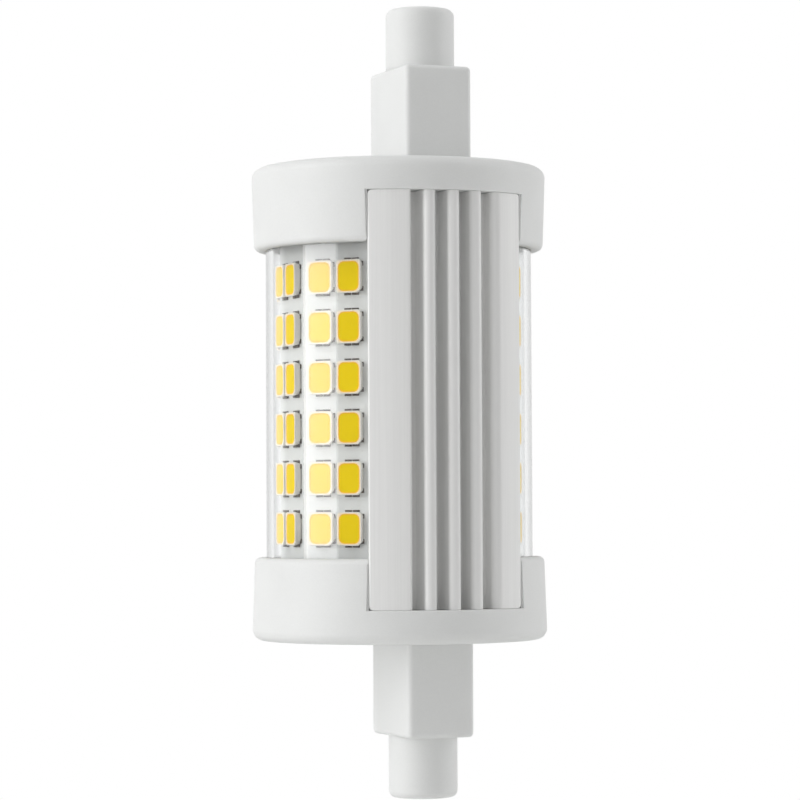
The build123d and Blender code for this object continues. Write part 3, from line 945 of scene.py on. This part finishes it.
class LAMP_OT_diodes(bpy.types.Operator):
    """Makes the diode packages and finishes their boards"""

    bl_idname = "lamp.make_diodes"
    bl_label = "Diodes and boards"

    def execute(self, context):
        diode = context.scene.lamp_diodes
        numbers = range(1, BOARDS + 1)
        tree = board_array()
        on_boards = {
            "Columns": diode.columns,
            "Rows": diode.rows,
            "Column Pitch": diode.column_pitch,
            "Row Pitch": (HOUSING_HIGH.z - HOUSING_LOW.z - diode.height) / (diode.rows - 1),
            "Face Distance": BOARD_FACE,
            "Boards": BOARDS,
            "First Board": FIRST_BOARD,
            "Board Step": FACET_STEP,
        }
        kinds = (
            (housing_mesh(diode), housing_plastic(diode), "diode_housing", "led_housings"),
            (phosphor_mesh(diode), phosphor_silicone(diode), "phosphor", "led_phosphors"),
            (terminal_mesh(diode), tinned_solder(), "strip_metal", None),
        )
        for mesh, material, slot, node in kinds:
            piece = set_out(tree, mesh, material, on_boards)
            piece.data.transform(Matrix.Translation((0, 0, -diode.drop)))
            nodes = [f"{node}_{number}" for number in numbers] if node else []
            dress(piece, material, slot, *nodes)
        # White solder mask on an aluminium board: an even satin coat over faint tracks
        mask = patterned(
            "white_solder_mask",
            shades(diode.board, 0.93),
            roughness=(0.32, 0.44),
            grain_mm=0.5,
            bump_mm=0.004,
            patch_mm=3.0,
            IOR=1.5,
        )
        paint(mask, *(f"led_board_{number}" for number in numbers))
        # White thermal compound: a soft chalky bead pressed out between the boards
        compound = patterned(
            "white_thermal_compound",
            (linear("EBEBE9"), linear("E0E0DD")),
            roughness=(0.55, 0.7),
            grain_mm=0.3,
            bump_mm=0.01,
            patch_mm=2.0,
            IOR=1.45,
        )
        between = {
            "Columns": 1,
            "Rows": 1,
            "Boards": BOARDS - 1,
            "First Board": FRONT_TURN + FACET_STEP,
            "Board Step": FACET_STEP,
        }
        beads = set_out(tree, bead_mesh(), compound, between)
        dress(beads, compound, "board_white")
        return {"FINISHED"}


class LAMP_OT_driver(bpy.types.Operator):
    """Finishes the driver and its wiring inside the core"""

    bl_idname = "lamp.finish_driver"
    bl_label = "Driver"

    def execute(self, context):
        moulded = ("bridge_rectifier", "driver_chip", "input_fuse")
        strips = ("upper_lead_strip", "lower_lead_strip", "positive_feed_strip", "negative_feed_strip")
        # Each row: material, two near tones, roughness range, grain in mm, metallic, solids
        finishes = (
            # Polyester film: a thin cream sheet with a soft shine
            ("polyester_film", "E8E0C8", "D8CFB4", (0.35, 0.5), 0.6, 0.0, ("driver_liner",)),
            # Glass epoxy laminate: green lacquer over a faint weave
            ("glass_epoxy_laminate", "2F6B3C", "275A32", (0.35, 0.5), 0.5, 0.0, ("driver_board",)),
            # Capacitor can in a shrunk sleeve: dark and rather glossy
            ("sleeved_capacitor_can", "2A2C33", "1F2126", (0.25, 0.35), 0.8, 0.0, ("smoothing_capacitor",)),
            # Sintered ferrite: dull charcoal, like fired clay
            ("sintered_ferrite", "3A3735", "2B2927", (0.6, 0.8), 0.2, 0.0, ("inductor",)),
            # Film capacitor dipped in epoxy: a glossy brick red
            ("epoxy_dipped_film", "B4311F", "9C2818", (0.2, 0.35), 1.0, 0.0, ("film_capacitor",)),
            # Moulded epoxy compound: a flat black
            ("epoxy_moulding_compound", "1C1C1D", "141415", (0.45, 0.6), 0.3, 0.0, moulded),
            # Rolled nickel strip: a warm grey metal with a soft sheen
            ("nickel_strip", "C6C2B8", "AEA99F", (0.25, 0.4), 0.3, 1.0, strips),
        )
        for name, light, dark, roughness, grain_mm, metallic, nodes in finishes:
            tones = (linear(light), linear(dark))
            paint(patterned(name, tones, roughness, grain_mm, bump_mm=0.004, Metallic=metallic), *nodes)
        return {"FINISHED"}


def seen_straight(add, ray):
    """A value of one for rays that see the background straight or through glass, with no other bounce."""
    views = {0: ray["Is Camera Ray"], 1: ray["Is Transmission Ray"]}
    through = add("ShaderNodeMath", views, operation="MAXIMUM")
    depths = {0: ray["Diffuse Depth"], 1: ray["Glossy Depth"]}
    bounces = add("ShaderNodeMath", depths, operation="ADD")
    straight = add("ShaderNodeMath", {0: bounces, 1: 0.5}, operation="LESS_THAN")
    return add("ShaderNodeMath", {0: through, 1: straight}, operation="MULTIPLY")


def make_floor(stage):
    """A round of pale paper below the lamp: matte, with a faint fibre."""
    bm = bmesh.new()
    bmesh.ops.create_circle(bm, cap_ends=True, segments=96, radius=1.2)
    for vertex in bm.verts:
        vertex.co.z = -NOSE_HIGH.z - stage.floor_drop
    mesh = bpy.data.meshes.new("studio_floor")
    bm.to_mesh(mesh)
    bm.free()
    floor = make_object("studio_floor", mesh)
    material, add = start_material("white_floor_paper")
    pale, dim = linear("F4F4F3"), linear("EEEEED")
    place = add("ShaderNodeTexCoord").outputs["Object"]
    fibre = add("ShaderNodeTexNoise", {"Vector": place, "Scale": per_mm(2.0), "Detail": 3.0})
    tone = add("ShaderNodeMix", {"Factor": fibre, 6: pale, 7: dim}, data_type="RGBA")
    paper = add("ShaderNodeBsdfDiffuse", {"Color": tone})
    white = add("ShaderNodeEmission", {"Color": (1, 1, 1, 1), "Strength": 1.0})
    ray = add("ShaderNodeLightPath").outputs
    # The share below one keeps the lamp's shadow on the paper
    share = add("ShaderNodeMath", {0: seen_straight(add, ray), 1: 0.85}, operation="MULTIPLY")
    mix = add("ShaderNodeMixShader", {0: share, 1: paper, 2: white})
    add("ShaderNodeOutputMaterial", {"Surface": mix})
    mesh.materials.append(material)


def make_world(context, stage):
    """A room lit from above and below, dim at the lamp's height, with a white wall behind the lamp."""
    world = bpy.data.worlds.new("studio_room")
    world.use_nodes = True
    world.node_tree.nodes.clear()
    add = partial(add_node, world.node_tree)
    ray = add("ShaderNodeLightPath").outputs
    way = add("ShaderNodeTexCoord").outputs["Generated"]
    rise = add("ShaderNodeSeparateXYZ", {0: way}).outputs["Z"]
    slope = add("ShaderNodeMath", {0: rise}, operation="ABSOLUTE")
    back = (-sin(stage.azimuth), cos(stage.azimuth), 0.0)
    facing = add("ShaderNodeVectorMath", {0: way, 1: back}, operation="DOT_PRODUCT")
    # From the camera's side of the room, at minus one, to the wall behind the lamp, at one
    sides = {"Value": facing, "From Min": -0.5, "From Max": 0.3}
    ahead = {"Value": facing, "From Min": -0.78, "From Max": -0.9}
    behind = {"Value": facing, "From Min": 0.42, "From Max": 0.52}
    heights = {"Value": slope, "From Min": 0.2, "From Max": 0.5}
    dim = {"To Min": stage.horizon, "To Max": 2 * stage.horizon}
    side = add("ShaderNodeMapRange", {**sides, **dim})
    front = add("ShaderNodeMapRange", {**ahead, "To Min": 0.0, "To Max": stage.front})
    around = add("ShaderNodeMath", {0: side, 1: front}, operation="MAXIMUM")
    rising = {**heights, "To Min": around, "To Max": stage.ambient}
    room = add("ShaderNodeMapRange", rising, interpolation_type="SMOOTHSTEP")
    on_wall = add("ShaderNodeMapRange", behind)
    bounced = add("ShaderNodeMath", {0: ray["Glossy Depth"], 1: 0.5}, operation="GREATER_THAN")
    mirrored = add("ShaderNodeMath", {0: on_wall, 1: bounced}, operation="MULTIPLY")
    lit = add("ShaderNodeMix", {"Factor": mirrored, 2: room, 3: stage.wall})
    strength = add("ShaderNodeMix", {"Factor": seen_straight(add, ray), 2: lit, 3: 1.0})
    light = add("ShaderNodeBackground", {"Color": (1, 1, 1, 1), "Strength": strength})
    add("ShaderNodeOutputWorld", {"Surface": light})
    context.scene.world = world


def make_softbox(context, name, brightness, turn):
    """A tall softbox beside the lamp."""
    width, height, distance, middle = 0.57, 2.2, 0.9, 0.1
    light = bpy.data.lights.new(name, "AREA")
    light.shape = "RECTANGLE"
    light.size, light.size_y = width, height
    light.energy = brightness * pi * width * height
    lamp = bpy.data.objects.new(name, light)
    lamp.location = (distance * sin(turn), -distance * cos(turn), middle)
    lamp.rotation_euler = (-lamp.location).to_track_quat("-Z", "Y").to_euler()
    context.scene.collection.objects.link(lamp)


def make_camera(context, stage):
    """A long lens, a little below the middle of the lamp and to its left."""
    turn, rise = stage.azimuth, stage.elevation
    back = Vector((sin(turn) * cos(rise), -cos(turn) * cos(rise), sin(rise)))
    right = Vector((cos(turn), sin(turn), 0))
    up = back.cross(right)
    lens = bpy.data.cameras.new("camera")
    lens.lens = stage.lens
    lens.sensor_width = 36
    lens.clip_start, lens.clip_end = 0.01, 20
    camera = bpy.data.objects.new("camera", lens)
    camera.location = back * stage.distance
    aim = right * stage.aim_right + up * stage.aim_up - camera.location
    camera.rotation_mode = "QUATERNION"
    straight = aim.to_track_quat("-Z", "Y")
    camera.rotation_quaternion = straight @ Matrix.Rotation(-stage.roll, 3, "Z").to_quaternion()
    context.scene.collection.objects.link(camera)
    context.scene.camera = camera


class LAMP_OT_stage(bpy.types.Operator):
    """Makes the floor, the light and the camera"""

    bl_idname = "lamp.make_stage"
    bl_label = "Stage"

    def execute(self, context):
        stage = context.scene.lamp_stage
        context.scene.view_settings.view_transform = "Standard"
        make_floor(stage)
        make_world(context, stage)
        make_softbox(context, "left_softbox", stage.softbox, stage.softbox_turn)
        make_softbox(context, "right_fill", stage.fill, stage.fill_turn)
        make_camera(context, stage)
        return {"FINISHED"}


class LAMP_PT_panel(bpy.types.Panel):
    """Lists the pieces of the lamp and their settings"""

    bl_label = "LED lamp"
    bl_space_type = "VIEW_3D"
    bl_region_type = "UI"
    bl_category = "Lamp"

    def draw(self, context):
        for operator, settings, _ in PIECES:
            box = self.layout.box()
            box.operator(operator.bl_idname)
            if settings:
                group = getattr(context.scene, settings)
                for name in group.__annotations__:
                    box.prop(group, name)


PIECES = (
    (LAMP_OT_ends, "lamp_caps", LampCapSettings),
    (LAMP_OT_heat_sink, "lamp_sink", LampSinkSettings),
    (LAMP_OT_cover, "lamp_cover", LampCoverSettings),
    (LAMP_OT_diodes, "lamp_diodes", LampDiodeSettings),
    (LAMP_OT_driver, None, None),
    (LAMP_OT_stage, "lamp_stage", LampStageSettings),
)
SETTINGS = {name: group for _, name, group in PIECES if name}
CLASSES = (*SETTINGS.values(), *(operator for operator, _, _ in PIECES), LAMP_PT_panel)


def register():
    for cls in CLASSES:
        bpy.utils.register_class(cls)
    for name, group in SETTINGS.items():
        setattr(bpy.types.Scene, name, PointerProperty(type=group))


def unregister():
    for name in SETTINGS:
        delattr(bpy.types.Scene, name)
    for cls in reversed(CLASSES):
        bpy.utils.unregister_class(cls)


def main():
    """Makes every piece in order."""
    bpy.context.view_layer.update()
    register()
    for operator, _, _ in PIECES:
        group, name = operator.bl_idname.split(".")
        getattr(getattr(bpy.ops, group), name)()


if __name__ == "__main__":
    main()
